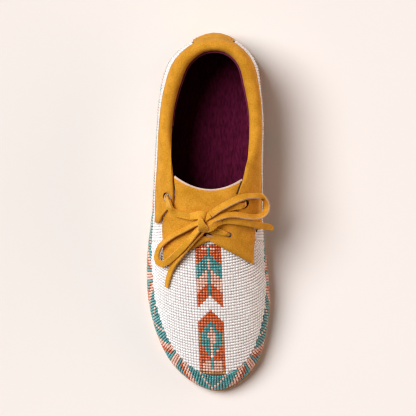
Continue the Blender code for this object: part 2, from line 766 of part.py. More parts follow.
def lace_bar(name, rows, material):
    """A stretch of the flat thong that follows the last."""
    spots = along_route(rows, BAR_STEP)
    middles = [over_last(x, y, lift) for x, y, lift, _ in spots]
    bm = bmesh.new()
    rings = []
    for i, (x, y, _, width) in enumerate(spots):
        ahead = middles[min(i + 1, len(spots) - 1)] - middles[max(i - 1, 0)]
        up = last_normal(last_angle(y), girth_at(x, y))
        side = ahead.cross(up).normalized()
        up = side.cross(ahead).normalized()
        half, thick = side * width / 2, up * LACE_THICK / 2
        corners = (half + thick, half - thick, -half - thick, thick - half)
        rings.append([bm.verts.new(middles[i] + corner) for corner in corners])
    for first, second in zip(rings, rings[1:]):
        for k in range(4):
            bm.faces.new((first[k], first[k - 1], second[k - 1], second[k]))
    bm.faces.new(rings[0])
    bm.faces.new(rings[-1][::-1])
    return make_object(name, mesh_from(name, bm), material)


def join(made, other):
    other.hide_render = True
    other.display_type = "WIRE"
    modifier = made.modifiers.new("Join", "BOOLEAN")
    modifier.operation = "UNION"
    modifier.solver = "EXACT"
    modifier.object = other


def build_lace_bars(material):
    bars = lace_bar("lace_bars", CROSS_BAR, material)
    join(bars, lace_bar("front_bar", FRONT_BAR, material))


def lace_cord(name, route, width, end_share, material):
    """A free stretch of the lace as a round tube along its route."""
    curve = bpy.data.curves.new(name, "CURVE")
    curve.dimensions = "3D"
    curve.bevel_depth = width / 2
    curve.bevel_resolution = 2
    curve.use_fill_caps = True
    curve.materials.append(material)
    points = along_route(route, CORD_STEP)
    spline = curve.splines.new("POLY")
    spline.points.add(len(points) - 1)
    for spot, point in zip(spline.points, points):
        spot.co = (*point, 1.0)
    for tip in (spline.points[0], spline.points[-1]):
        tip.radius = end_share
    made = bpy.data.objects.new(name, curve)
    bpy.context.scene.collection.objects.link(made)


def main():
    clear_scene()
    suede = paint("mustard_suede", (0.78, 0.36, 0.045), 0.9)
    rawhide = paint("tan_rawhide", (0.55, 0.30, 0.12), 0.7)
    beaded = paint("beaded_canvas", (0.86, 0.83, 0.80), 0.5)
    lining = paint("burgundy_lining", (0.09, 0.008, 0.03), 0.95)
    guide = paint("cutter", (0.5, 0.5, 0.5), 1.0)

    slab("sole", SOLE_INSETS, tread, SOLE_THICK, 0.0009, 2, rawhide)
    slab("insole", INSOLE_INSETS, feather, INSOLE_THICK, 0.0006, 1, lining)
    build_upper(beaded, guide)
    build_tongue(suede, guide)
    build_cuff(suede, guide)
    build_heel_tab(suede)
    build_lace_bars(suede)
    lace_cord("lace_knot", KNOT, KNOT_WIDTH, KNOT_END, suede)
    lace_cord("lace_loop_outer", OUTER_LOOP, CORD_WIDTH, 1.0, suede)
    lace_cord("lace_loop_inner", INNER_LOOP, CORD_WIDTH, 1.0, suede)
    lace_cord("lace_end_outer", OUTER_END, CORD_WIDTH, 1.0, suede)
    lace_cord("lace_end_inner", INNER_END, CORD_WIDTH, 1.0, suede)


main()
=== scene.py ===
# %% [markdown]
# # A beaded moccasin
# One right shoe: rows of glass seed beads sewn on a canvas upper, a suede cuff folded over the
# top edge, a suede tongue with two wings, and a flat suede lace tied in a bow. The solid parts
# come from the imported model. This script dresses them, in metres, with the toe towards -Y and
# the inner side of the foot towards +X.

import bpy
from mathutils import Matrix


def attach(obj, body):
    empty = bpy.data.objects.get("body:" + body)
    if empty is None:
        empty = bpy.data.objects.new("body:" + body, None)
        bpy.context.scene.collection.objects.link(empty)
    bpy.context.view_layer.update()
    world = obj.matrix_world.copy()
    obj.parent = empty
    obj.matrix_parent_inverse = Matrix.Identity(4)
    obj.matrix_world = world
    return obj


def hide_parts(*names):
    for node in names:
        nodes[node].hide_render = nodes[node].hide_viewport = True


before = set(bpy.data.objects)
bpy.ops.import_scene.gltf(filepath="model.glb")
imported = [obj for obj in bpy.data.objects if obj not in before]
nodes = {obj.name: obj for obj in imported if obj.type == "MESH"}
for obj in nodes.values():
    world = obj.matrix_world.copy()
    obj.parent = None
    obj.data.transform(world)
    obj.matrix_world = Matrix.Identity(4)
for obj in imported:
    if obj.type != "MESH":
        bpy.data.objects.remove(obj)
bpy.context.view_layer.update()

# %% [markdown]
# Everything else that the lesson needs: Blender's own modules, numpy for the many beads, and a
# fixed seed so that each run gives the same shoe.

# %% Tools of the trade
from collections import namedtuple
from math import cos, pi, radians, sin
from random import Random

import bmesh
import bpy
import numpy as np
from mathutils import Matrix, Vector
from mathutils.bvhtree import BVHTree
from mathutils.kdtree import KDTree

chance = Random(11)
UP = Vector((0, 0, 1))


def link(name, mesh, *materials):
    """Put a mesh in the scene under a name, with its materials."""
    made = bpy.data.objects.new(name, mesh)
    bpy.context.scene.collection.objects.link(made)
    for material in materials:
        mesh.materials.append(material)
    return made


def finish_mesh(name, bm, sharp=40):
    """Turn a bmesh into a smooth mesh whose edges over this many degrees stay crisp."""
    mesh = bpy.data.meshes.new(name)
    bm.to_mesh(mesh)
    bm.free()
    mesh.shade_smooth()
    mesh.set_sharp_from_angle(angle=radians(sharp))
    return mesh


# %% [markdown]
# The camera hangs straight over the shoe. A long lens from high up keeps the instep from
# swelling towards the viewer, so the plan reads like a pattern maker's drawing.

# %% Camera
CAMERA_HEIGHT = 4.0
VIEW_WIDTH = 0.3088  # the width of floor in view
CAMERA_Y = 0.0026
SENSOR = 0.036

camera_data = bpy.data.cameras.new("camera")
camera_data.sensor_width = SENSOR * 1000
camera_data.lens = SENSOR * 1000 * CAMERA_HEIGHT / VIEW_WIDTH
camera = bpy.data.objects.new("camera", camera_data)
camera.location = (0, CAMERA_Y, CAMERA_HEIGHT)
bpy.context.scene.collection.objects.link(camera)
bpy.context.scene.camera = camera
print("lens", round(camera_data.lens), "mm")

# %% [markdown]
# ## Finishes
# A finish is a node tree round one Principled shader. Small helpers keep the trees short: noise
# in the object's own metres, which stays put when the shoe is turned, arithmetic, a ramp from a
# number to a colour, and bumps.

# %% Helpers for finishes
def new_finish(name, roughness, **values):
    """A material, its node tree and its Principled shader."""
    material = bpy.data.materials.new(name)
    material.use_nodes = True
    tree = material.node_tree
    shader = tree.nodes["Principled BSDF"]
    shader.inputs["Roughness"].default_value = roughness
    for socket, value in values.items():
        shader.inputs[socket.replace("_", " ")].default_value = value
    return material, tree, shader


def add_noise(tree, scale, detail=3.0, stretch=(1, 1, 1)):
    """Noise with features of about 1/scale metres, stretched along the axes."""
    place = tree.nodes.new("ShaderNodeTexCoord")
    mapping = tree.nodes.new("ShaderNodeMapping")
    mapping.inputs["Scale"].default_value = stretch
    noise = tree.nodes.new("ShaderNodeTexNoise")
    noise.inputs["Scale"].default_value = scale
    noise.inputs["Detail"].default_value = detail
    tree.links.new(place.outputs["Object"], mapping.inputs["Vector"])
    tree.links.new(mapping.outputs["Vector"], noise.inputs["Vector"])
    return noise.outputs["Fac"]


def add_math(tree, operation, *values):
    """One step of arithmetic on numbers or on other nodes' results."""
    node = tree.nodes.new("ShaderNodeMath")
    node.operation = operation
    for socket, value in zip(node.inputs, values):
        if isinstance(value, (int, float)):
            socket.default_value = value
        else:
            tree.links.new(value, socket)
    return node.outputs["Value"]


def add_ramp(tree, factor, stops):
    """Colours along a factor: stops are (position, (r, g, b))."""
    ramp = tree.nodes.new("ShaderNodeValToRGB")
    while len(ramp.color_ramp.elements) < len(stops):
        ramp.color_ramp.elements.new(0.5)
    for element, (position, colour) in zip(ramp.color_ramp.elements, stops):
        element.position = position
        element.color = (*colour, 1)
    tree.links.new(factor, ramp.inputs["Fac"])
    return ramp.outputs["Color"]


def add_bump(tree, shader, height, strength, distance):
    bump = tree.nodes.new("ShaderNodeBump")
    bump.inputs["Strength"].default_value = strength
    bump.inputs["Distance"].default_value = distance
    tree.links.new(height, bump.inputs["Height"])
    tree.links.new(bump.outputs["Normal"], shader.inputs["Normal"])


# %% [markdown]
# Suede is leather with its nap brushed up. It has no gloss at all, a soft pale sheen where the
# nap catches the light, and slow cloudy changes of colour where it was brushed or handled. Its
# cut edges show the paler middle of the hide.

# %% Suede
def suede_finish(name, dark, light, sheen=0.12):
    material, tree, shader = new_finish(
        name, 0.92, Sheen_Weight=sheen, Sheen_Roughness=0.5, Specular_IOR_Level=0.15
    )
    shader.inputs["Sheen Tint"].default_value = (1.0, 0.70, 0.28, 1)
    clouds = add_noise(tree, 110, 5)
    nap = add_noise(tree, 1000, 4)
    both = add_math(tree, "MULTIPLY_ADD", nap, 0.5, add_math(tree, "MULTIPLY", clouds, 0.5))
    colour = add_ramp(tree, both, [(0.38, dark), (0.62, light)])
    tree.links.new(colour, shader.inputs["Base Color"])
    add_bump(tree, shader, nap, 0.5, 0.0003)
    return material


SUEDE = suede_finish("suede", (0.58, 0.245, 0.012), (0.80, 0.368, 0.034))
TONGUE_SUEDE = suede_finish("tongue_suede", (0.58, 0.245, 0.012), (0.81, 0.372, 0.035))
SUEDE_EDGE = suede_finish("suede_edge", (0.62, 0.42, 0.34), (0.86, 0.66, 0.58))
LACE = suede_finish("lace_suede", (0.62, 0.275, 0.014), (0.86, 0.400, 0.038))
LACE_EDGE = suede_finish("lace_edge", (0.62, 0.36, 0.17), (0.84, 0.55, 0.31))
LACE_GOLD = suede_finish("lace_gold", (0.72, 0.35, 0.05), (0.92, 0.49, 0.11))
print("suede finishes", [m.name for m in (SUEDE, TONGUE_SUEDE, SUEDE_EDGE, LACE, LACE_EDGE)])

# %% [markdown]
# The rest of the finishes: smoked hide for the sole, burgundy cloth for the lining, the canvas
# and thread that show between the beads, waxed thread for the stitches, and a dark brown painted
# shade for the gaps along the seams.

# %% Hide, cloth and thread
def plain_finish(
    name, dark, light, roughness, scale, bump=0.2, depth=0.0002, stretch=(1, 1, 1), **values
):
    material, tree, shader = new_finish(name, roughness, **values)
    colour = add_ramp(tree, add_noise(tree, scale, 4, stretch), [(0.3, dark), (0.7, light)])
    tree.links.new(colour, shader.inputs["Base Color"])
    add_bump(tree, shader, add_noise(tree, scale * 12, 2), bump, depth)
    return material


RAWHIDE = plain_finish("rawhide", (0.46, 0.25, 0.09), (0.60, 0.36, 0.16), 0.75, 60)
LINING = plain_finish(
    "lining", (0.052, 0.003, 0.014), (0.140, 0.009, 0.044), 0.95, 420, 0.5, 0.0004,
    (1.8, 0.5, 0.8), Specular_IOR_Level=0.08,
)
BINDING = plain_finish("binding", (0.10, 0.004, 0.030), (0.17, 0.010, 0.055), 0.9, 300)
THREAD = plain_finish("thread", (0.42, 0.19, 0.03), (0.56, 0.28, 0.06), 0.7, 300)
# Painted shade: a dark brown that stands in for the shadow in the gaps along the seams.
SEAM_SHADE = plain_finish("seam_shade", (0.045, 0.016, 0.008), (0.11, 0.045, 0.022), 0.95, 500)

# %% [markdown]
# Between the white beads a pale canvas shows. Under the coloured ones it is painted dark, as
# painted shade for the shadows between those beads, so that each of them stands out. The change
# is worked out from the place on the shoe: low down is the border, near the middle line of the
# vamp is the strip, and a pale chevron parts its figures.

# %% Canvas under the beads, with painted shade
BORDER_TOP_Z = 0.0165
STRIP_HALF_WIDTH = 0.0094
CHEVRON_Y = -0.0669
CHEVRON_HALF = 0.0050
STRIP_X = ((-0.0286, 0.0002), (-0.1140, 0.0035))  # (y, x) at its two ends


def strip_x(y):
    """The strip's middle line."""
    (y0, x0), (y1, x1) = STRIP_X
    return x0 + (x1 - x0) * (y - y0) / (y1 - y0)


def canvas_and_shade_finish():
    material, tree, shader = new_finish("bead_ground", 0.9)
    place = tree.nodes.new("ShaderNodeTexCoord")
    parts = tree.nodes.new("ShaderNodeSeparateXYZ")
    tree.links.new(place.outputs["Object"], parts.inputs["Vector"])
    x, y, z = parts.outputs
    lean = strip_x(1) - strip_x(0)
    middle = add_math(tree, "MULTIPLY_ADD", y, lean, strip_x(0))
    off = add_math(tree, "ABSOLUTE", add_math(tree, "SUBTRACT", x, middle))
    strip = add_math(tree, "LESS_THAN", off, STRIP_HALF_WIDTH)
    behind = add_math(tree, "SUBTRACT", add_math(tree, "ADD", y, off), CHEVRON_Y)
    figures = add_math(tree, "GREATER_THAN", add_math(tree, "ABSOLUTE", behind), CHEVRON_HALF)
    strip = add_math(tree, "MULTIPLY", strip, figures)
    low = add_math(tree, "LESS_THAN", z, BORDER_TOP_Z)
    # The strip's figures and the border take the dark colour: painted shade between their beads.
    dark = add_math(tree, "MAXIMUM", strip, low)
    colour = add_ramp(tree, dark, [(0.0, (0.97, 0.81, 0.79)), (1.0, (0.25, 0.105, 0.065))])
    tree.links.new(colour, shader.inputs["Base Color"])
    return material


CANVAS_AND_SHADE = canvas_and_shade_finish()

# %% [markdown]
# ## The lace
# A thong is cut flat from suede, about 5 mm wide and 2 mm thick. Its loops and ends are free, so
# each is a cord with a real length. A route is a list of given points, one smooth line goes
# through them, and a flat section is carried along that line by extruding it step by step.

# %% Lace routes
LACE_THICK = 0.0018
LACE_STEP = 0.0012
OUTER_LOOP = (
    (-0.0098, -0.0093, 0.0642), (-0.0153, -0.0123, 0.0600), (-0.0194, -0.0144, 0.0570),
    (-0.0256, -0.0177, 0.0522), (-0.0305, -0.0212, 0.0477), (-0.0348, -0.0252, 0.0428),
    (-0.0370, -0.0298, 0.0388), (-0.0377, -0.0340, 0.0370), (-0.0366, -0.0372, 0.0372),
    (-0.0340, -0.0384, 0.0396), (-0.0308, -0.0374, 0.0440), (-0.0260, -0.0336, 0.0500),
    (-0.0194, -0.0274, 0.0558), (-0.0148, -0.0224, 0.0592), (-0.0104, -0.0172, 0.0622),
    (-0.0080, -0.0142, 0.0638),
)
OUTER_END = (
    (-0.0056, -0.0156, 0.0602), (-0.0106, -0.0206, 0.0582), (-0.0172, -0.0284, 0.0536),
    (-0.0224, -0.0346, 0.0489), (-0.0256, -0.0396, 0.0438), (-0.0277, -0.0444, 0.0398),
    (-0.0295, -0.0504, 0.0368), (-0.0304, -0.0558, 0.0347),
)
INNER_LOOP = (
    (0.0018, -0.0024, 0.0688), (0.0078, 0.0018, 0.0689), (0.0130, 0.0048, 0.0690),
    (0.0184, 0.0076, 0.0686), (0.0230, 0.0096, 0.0674), (0.0278, 0.0110, 0.0648),
    (0.0326, 0.0115, 0.0608), (0.0372, 0.0111, 0.0566), (0.0408, 0.0096, 0.0532),
    (0.0428, 0.0068, 0.0510), (0.0434, 0.0034, 0.0498), (0.0426, 0.0002, 0.0494),
    (0.0402, -0.0024, 0.0504), (0.0352, -0.0040, 0.0540), (0.0287, -0.0037, 0.0590),
    (0.0208, -0.0024, 0.0642), (0.0144, -0.0026, 0.0666), (0.0086, -0.0042, 0.0671),
    (0.0040, -0.0062, 0.0671),
)
INNER_END = (
    (0.0040, -0.0096, 0.0636), (0.0084, -0.0076, 0.0632), (0.0142, -0.0066, 0.0622),
    (0.0230, -0.0074, 0.0592), (0.0310, -0.0088, 0.0542), (0.0372, -0.0100, 0.0480),
    (0.0422, -0.0108, 0.0414), (0.0454, -0.0116, 0.0356), (0.0474, -0.0127, 0.0308),
)


def smooth_route(points, step=LACE_STEP):
    """A smooth line through a route's points, as points about a step apart."""
    points = [Vector(point) for point in points]
    lengths = [0.0]
    for before, after in zip(points, points[1:]):
        lengths.append(lengths[-1] + (after - before).length)

    def slope(i):
        low, high = max(i - 1, 0), min(i + 1, len(points) - 1)
        return (points[high] - points[low]) / (lengths[high] - lengths[low])

    line = []
    count = max(2, round(lengths[-1] / step))
    for k in range(count + 1):
        at = lengths[-1] * k / count
        i = max(j for j in range(len(points) - 1) if lengths[j] <= at)
        span = lengths[i + 1] - lengths[i]
        t = (at - lengths[i]) / span
        line.append(
            points[i] * (2 * t**3 - 3 * t**2 + 1)
            + slope(i) * span * (t**3 - 2 * t**2 + t)
            + points[i + 1] * (3 * t**2 - 2 * t**3)
            + slope(i + 1) * span * (t**3 - t**2)
        )
    return line


def length_of(line):
    return sum((after - before).length for before, after in zip(line, line[1:]))


for name, route in (("outer loop", OUTER_LOOP), ("inner loop", INNER_LOOP)):
    print(name, round(length_of(smooth_route(route)) * 1000), "mm")

# %% [markdown]
# The section is a small plane with its corners rounded by a vertex bevel. At each step along
# the line it is extruded and moved to the next place, turned so that its face looks towards the
# facing given there. The last few steps grow narrower at a cut tip.

# %% Carry a flat section along a line
def frame_at(line, i, facing):
    """A matrix that puts the section at one point of the line, its face towards facing."""
    ahead = (line[min(i + 1, len(line) - 1)] - line[max(i - 1, 0)]).normalized()
    across = ahead.cross(facing).normalized()
    up = across.cross(ahead).normalized()
    return Matrix((
        (across.x, up.x, ahead.x, line[i].x),
        (across.y, up.y, ahead.y, line[i].y),
        (across.z, up.z, ahead.z, line[i].z),
        (0, 0, 0, 1),
    ))


def flat_section(bm):
    """A rounded flat ring of edges of unit width and thickness."""
    made = bmesh.ops.create_grid(bm, x_segments=1, y_segments=1, size=0.5)
    bmesh.ops.bevel(
        bm, geom=made["verts"], affect="VERTICES", offset=0.13, segments=2, profile=0.5,
        material=-1,
    )
    bmesh.ops.delete(bm, geom=bm.faces[:], context="FACES_ONLY")
    return bm.edges[:]


def thong(name, line, facings, widths, thickness, *materials):
    """A flat strip along a line. Facings and widths have one value for each point. With two
    finishes, the second goes on its cut sides."""
    bm = bmesh.new()
    ring = flat_section(bm)
    shape = [vert.co.copy() for vert in bm.verts]
    verts = bm.verts[:]
    rings = []
    for i in range(len(line)):
        if i:
            made = bmesh.ops.extrude_edge_only(bm, edges=ring)["geom"]
            ring = [part for part in made if isinstance(part, bmesh.types.BMEdge)]
            ring = [edge for edge in ring if not any(v in rings[-1] for v in edge.verts)]
            fresh = [part for part in made if isinstance(part, bmesh.types.BMVert)]
            verts = [min(fresh, key=lambda v: (v.co - old.co).length) for old in rings[-1]]
        place = frame_at(line, i, facings[i])
        size = Matrix.Diagonal((widths[i], thickness, 1, 1))
        for vert, corner in zip(verts, shape):
            vert.co = place @ size @ corner
        rings.append(verts)
    sides = {vert for verts in rings for vert, corner in zip(verts, shape) if abs(corner.x) > 0.45}
    for face in bm.faces:
        face.material_index = int(len(materials) > 1 and all(v in sides for v in face.verts))
    bmesh.ops.holes_fill(bm, edges=bm.edges, sides=0)
    bmesh.ops.recalc_face_normals(bm, faces=bm.faces)
    return link(name, finish_mesh(name, bm, 50), *materials)


print("section ready")

# %% [markdown]
# A thong leans and twists as it goes round its loop. So the way its face looks, and its width,
# are given at a few shares of its length and blended between them.

# %% Loops and ends of the bow
def blend(stops, count):
    """Values at count even steps, from stops of (share, value)."""
    shares = [share for share, _ in stops]
    values = np.array([value for _, value in stops], dtype=float)
    at = np.linspace(0, 1, count)
    if values.ndim == 1:
        return [float(v) for v in np.interp(at, shares, values)]
    columns = [np.interp(at, shares, values[:, axis]) for axis in range(3)]
    return [Vector(v).normalized() for v in zip(*columns)]


def strand(name, route, facings, widths, *finishes):
    """A thong along a smooth route, and the line it follows."""
    line = smooth_route(route)
    count = len(line)
    piece = thong(name, line, blend(facings, count), blend(widths, count), LACE_THICK, *finishes)
    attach(piece, "root")
    return piece, line


def cord_piece(name, node, route, facings, widths, far_end, *finishes):
    piece, line = strand(name, route, facings, widths, *finishes)
    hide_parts(node)
    print(name, round(length_of(line) * 1000), "mm")
    return piece


outer_loop = cord_piece(
    "bow_loop_outer", "lace_loop_outer", OUTER_LOOP,
    ((0.0, (-0.55, 0.50, 0.68)), (0.3, (-0.55, 0.62, 0.56)), (0.5, (-0.75, -0.10, 0.66)),
     (0.7, (-0.25, -0.62, 0.74)), (1.0, (-0.45, 0.45, 0.77))),
    ((0.0, 0.0040), (0.2, 0.0048), (1.0, 0.0046)), "object", LACE, LACE_GOLD,
)
inner_loop = cord_piece(
    "bow_loop_inner", "lace_loop_inner", INNER_LOOP,
    ((0.0, (-0.30, 0.42, 0.86)), (0.30, (-0.30, 0.45, 0.84)), (0.48, (-0.70, 0.15, 0.70)),
     (0.60, (-0.62, 0.20, 0.75)), (0.72, (-0.15, 0.55, 0.82)), (1.0, (-0.15, 0.50, 0.85))),
    ((0.0, 0.0050), (0.2, 0.0053), (0.8, 0.0050), (1.0, 0.0040)), "object", LACE, LACE_EDGE,
)
outer_end = cord_piece(
    "bow_end_outer", "lace_end_outer", OUTER_END,
    ((0.0, (-0.40, 0.35, 0.85)), (0.5, (-0.50, 0.15, 0.85)), (1.0, (-0.50, 0.0, 0.86))),
    ((0.0, 0.0048), (0.5, 0.0046), (0.92, 0.0034), (1.0, 0.0024)), "bare", LACE, LACE_GOLD,
)
inner_end = cord_piece(
    "bow_end_inner", "lace_end_inner", INNER_END,
    ((0.0, (0.0, -0.40, 0.92)), (0.5, (0.25, -0.25, 0.92)), (1.0, (0.40, -0.10, 0.90))),
    ((0.0, 0.0046), (0.7, 0.0048), (0.93, 0.0046), (1.0, 0.0026)), "bare", LACE, LACE_GOLD,
)

# %% [markdown]
# The knot is the same thong again. One wrap comes up from behind, narrow where it folds, and
# spreads over the front. Beside it lies the turn from which the inner end starts, and behind it
# the strand from the outer eyelet bulges up. Short tucks carry the loops and ends in under them.

# %% Knot
KNOT_PIECES = (
    ("knot_wrap",
     ((-0.0060, -0.0006, 0.0646), (-0.0061, -0.0026, 0.0682), (-0.0058, -0.0050, 0.0706),
      (-0.0052, -0.0080, 0.0713), (-0.0043, -0.0108, 0.0702), (-0.0033, -0.0130, 0.0672),
      (-0.0029, -0.0143, 0.0632), (-0.0028, -0.0146, 0.0604)),
     ((0.0, (0.1, 0.9, 0.3)), (0.25, (0.05, 0.6, 0.8)), (0.5, (0.0, 0.05, 1.0)),
      (0.75, (-0.05, -0.5, 0.86)), (1.0, (-0.05, -1.0, 0.1))),
     ((0.0, 0.0018), (0.22, 0.0022), (0.45, 0.0050), (0.7, 0.0078), (1.0, 0.0070))),
    ("knot_turn",
     ((-0.0026, -0.0118, 0.0630), (0.0002, -0.0122, 0.0664), (0.0024, -0.0114, 0.0676),
      (0.0046, -0.0098, 0.0666), (0.0068, -0.0083, 0.0648), (0.0098, -0.0072, 0.0634)),
     ((0.0, (-0.5, -0.4, 0.75)), (0.5, (0.25, -0.35, 0.9)), (1.0, (0.1, -0.40, 0.90))),
     ((0.0, 0.0050), (0.4, 0.0058), (1.0, 0.0046))),
    ("knot_rise",
     ((-0.0128, -0.0036, 0.0652), (-0.0096, -0.0031, 0.0668), (-0.0066, -0.0026, 0.0684),
      (-0.0042, -0.0027, 0.0690), (-0.0026, -0.0034, 0.0684), (-0.0019, -0.0044, 0.0660)),
     ((0.0, (-0.15, 0.15, 1.0)), (0.5, (-0.15, 0.20, 0.95)), (1.0, (0.75, -0.1, 0.6))),
     ((0.0, 0.0050), (0.5, 0.0060), (1.0, 0.0058))),
    ("tuck_loop_inner",
     ((-0.0024, -0.0058, 0.0664), (-0.0006, -0.0040, 0.0678), (0.0018, -0.0024, 0.0688)),
     ((0.0, (-0.30, 0.42, 0.86)), (1.0, (-0.30, 0.42, 0.86))),
     ((0.0, 0.0046), (1.0, 0.0050))),
    ("tuck_loop_back",
     ((-0.0012, -0.0092, 0.0660), (0.0012, -0.0078, 0.0668), (0.0040, -0.0062, 0.0671)),
     ((0.0, (-0.15, 0.50, 0.85)), (1.0, (-0.15, 0.50, 0.85))),
     ((0.0, 0.0036), (1.0, 0.0040))),
    ("tuck_outer_loop",
     ((-0.0044, -0.0078, 0.0668), (-0.0070, -0.0082, 0.0660), (-0.0098, -0.0093, 0.0642)),
     ((0.0, (-0.40, 0.30, 0.85)), (1.0, (-0.55, 0.50, 0.68))),
     ((0.0, 0.0040), (1.0, 0.0040))),
    ("tuck_outer_back",
     ((-0.0040, -0.0104, 0.0652), (-0.0060, -0.0123, 0.0648), (-0.0080, -0.0142, 0.0638)),
     ((0.0, (-0.40, 0.40, 0.80)), (1.0, (-0.45, 0.45, 0.77))),
     ((0.0, 0.0042), (1.0, 0.0046))),
    ("tuck_end_outer",
     ((-0.0030, -0.0122, 0.0622), (-0.0042, -0.0140, 0.0612), (-0.0056, -0.0156, 0.0602)),
     ((0.0, (-0.40, 0.35, 0.85)), (1.0, (-0.40, 0.35, 0.85))),
     ((0.0, 0.0046), (1.0, 0.0048))),
)
knot = {}
for name, route, facings, widths in KNOT_PIECES:
    knot[name], _ = strand(name, route, facings, widths, LACE, LACE_GOLD)
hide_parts("lace_knot")
print("knot of", len(knot), "stretches")

# %% [markdown]
# ## The upper
# The beads are sewn on the outside of the upper, so they need its outer skin alone. A copy of
# the solid is welded, and only the faces that look away from the middle of the shoe are kept.
# A BVH tree then answers where the nearest point of the skin is.

# %% Outer skin of the upper
WELD = 0.00001


def welded_copy(node):
    bm = bmesh.new()
    bm.from_mesh(nodes[node].data)
    bmesh.ops.remove_doubles(bm, verts=bm.verts, dist=WELD)
    return bm


AXIS_X = 0.0052
AXIS_Z = 0.015


def looks_out(face):
    spot = face.calc_center_median()
    y = max(min(spot.y, 0.085), -0.085)
    away = spot - Vector((AXIS_X, y, AXIS_Z))
    return face.normal.dot(away) > 0 and face.normal.z > -0.6


def skin_of(node, keep):
    bm = welded_copy(node)
    bmesh.ops.delete(bm, geom=[f for f in bm.faces if not keep(f)], context="FACES")
    bm.normal_update()
    return bm


skin = skin_of("upper", looks_out)
skin.verts.ensure_lookup_table()
skin.faces.ensure_lookup_table()
skin_tree = BVHTree.FromBMesh(skin)
print("skin", len(skin.faces), "faces")


def on_skin(point):
    """The nearest place on the skin, and its smooth normal."""
    place, _, index, _ = skin_tree.find_nearest(point)
    corners = skin.faces[index].verts
    weights = [1 / max((v.co - place).length, 1e-6) for v in corners]
    normal = sum((v.normal * w for v, w in zip(corners, weights)), Vector())
    return place, normal.normalized()


# %% [markdown]
# Bead work is laid out in rows, each a thread with a bead every 2 mm. A bead is remembered by
# its place, the way its hole runs, the way out of the cloth, its size along those, and its
# colour. Beads stop where the suede covers them.

# %% What a bead knows, and where beads are covered
PITCH = 0.00209
BEAD_HIGH = 0.0016
BEAD_SUNK = 0.0002
HEEL_Y = 0.130
HEEL_PADDING = 0.0010  # the rows stand this far off the canvas at the heel, level with the tab
# The inner side is padded too, beside the arch of the foot, where y and z pass these values.
ARCH_PADDING = 0.0009
ARCH_Y = (-0.010, 0.010, 0.065, 0.095)
ARCH_Z = (0.012, 0.022)
Bead = namedtuple("Bead", "place along out long wide colour")
beads = []

cover_trees = {}
for cover in ("cuff", "tongue", "heel_tab"):
    copy = welded_copy(cover)
    cover_trees[cover] = BVHTree.FromBMesh(copy)
    copy.free()


def touches_cover(place, room):
    """True where suede lies closer to the bead than room, or close over it."""
    for tree in cover_trees.values():
        if tree.find_nearest(place, room)[0] is not None:
            return True
    return False


def buried(place, out):
    """True where suede covers the bead on all sides, so that it can't be seen."""
    side = out.orthogonal().normalized()
    other = out.cross(side)
    for shift in (Vector(), side, -side, other, -other):
        start = place + 0.0025 * shift + 0.0003 * out
        if all(tree.ray_cast(start, out, 0.008)[0] is None for tree in cover_trees.values()):
            return False
    return True


def step_along(place, way, distance):
    """One step over the skin, and the new place and normal."""
    here, out = on_skin(place)
    way = (way - way.dot(out) * out).normalized()
    return on_skin(here + distance * way)


def sew(place, out, way, colour, long=0.00196, wide=0.00186):
    """Add a bead on the skin unless suede is in its way."""
    padded = HEEL_PADDING * max(0.0, place.y / HEEL_Y) ** 2
    if place.x > AXIS_X:
        along_arch = np.interp(place.y, ARCH_Y, (0, 1, 1, 0))
        padded += ARCH_PADDING * float(along_arch * np.interp(place.z, ARCH_Z, (0, 1)))
    middle = place + (padded + BEAD_HIGH / 2 - BEAD_SUNK) * out
    if touches_cover(middle, 0.00085) or buried(middle, out):
        return
    along = (way - way.dot(out) * out).normalized()
    beads.append(Bead(middle, along, out, long, wide, colour))


# %% [markdown]
# ### The border
# Above the sole runs a lane of stitches, each seven beads high. Its pattern repeats every 32
# stitches and mirrors about its points: a teal triangle hangs from the top, a pink line runs
# beside it, then come teal, a pink and orange slant, a teal line and a pink block.

# %% Border pattern
LANE_ROWS = 7
REPEAT = 32


def border_colour(column, row):
    """The colour at a stitch, counted from a point of the pattern, and a row up from the sole."""
    column = column % REPEAT
    column = min(column, REPEAT - column)
    slant = column + LANE_ROWS - 1 - row
    if column >= 15:
        return "pink"
    if column == 14 or slant >= 16:
        return "teal"
    if slant >= 14:
        return "orange"
    if slant >= 11:
        return "pink"
    return "pink" if slant == 5 or column == 0 and row == 0 else "teal"


# %% [markdown]
# The lower edge of the skin gives the line that the lane follows. From each of its points a
# stitch climbs the skin one bead at a time. The stitches start where they are evenly spaced half
# way up the lane. Round the toe they lean back rather than inwards, so they stay side by side,
# and where they crowd together the beads are narrower.

# %% Sew the border and the quarters above it
TOE_POINT_X = 0.0034
TOE_SHIFT = 0.0018  # from the rim's point there to the middle stitch of the pattern
EDGE_ROOM = 0.0011
QUARTER_START_Y = -0.022
QUARTER_ROWS = 16
CLIMB_ROWS = LANE_ROWS + QUARTER_ROWS
FINE_STEP = 0.0008
TOE_LEAN = Vector((0, 0.6, 0))


def lower_edge():
    """The skin's lower rim as points all round the shoe, about the middle of the shoe."""
    rim = [v.co for v in skin.verts if v.is_boundary and v.co.z < 0.012]
    middle = Vector((AXIS_X, 0, 0))

    def turn(point):
        away = point - middle
        return np.arctan2(away.x, -away.y)

    rim = sorted(rim, key=turn)
    start = min(range(len(rim)), key=lambda i: abs(rim[i].x - TOE_POINT_X) + 9 * (rim[i].y > 0))
    return rim[start:] + rim[: start + 1]


def lengths_of(line):
    lengths = [0.0]
    for before, after in zip(line, line[1:]):
        lengths.append(lengths[-1] + (after - before).length)
    return lengths


def points_at(line, lengths, at):
    """Places on a line, at these values of its lengths."""
    values = [np.interp(at, lengths, [p[axis] for p in line]) for axis in range(3)]
    return [Vector(v) for v in zip(*values)]


def climb_way(out):
    """Straight up, but leaning back where the skin faces forwards."""
    return UP + max(0.0, -out.y) * TOE_LEAN


def half_way_up(point):
    place, out = on_skin(point)
    for _ in range(LANE_ROWS // 2):
        place, out = step_along(place, climb_way(out), PITCH)
    return place


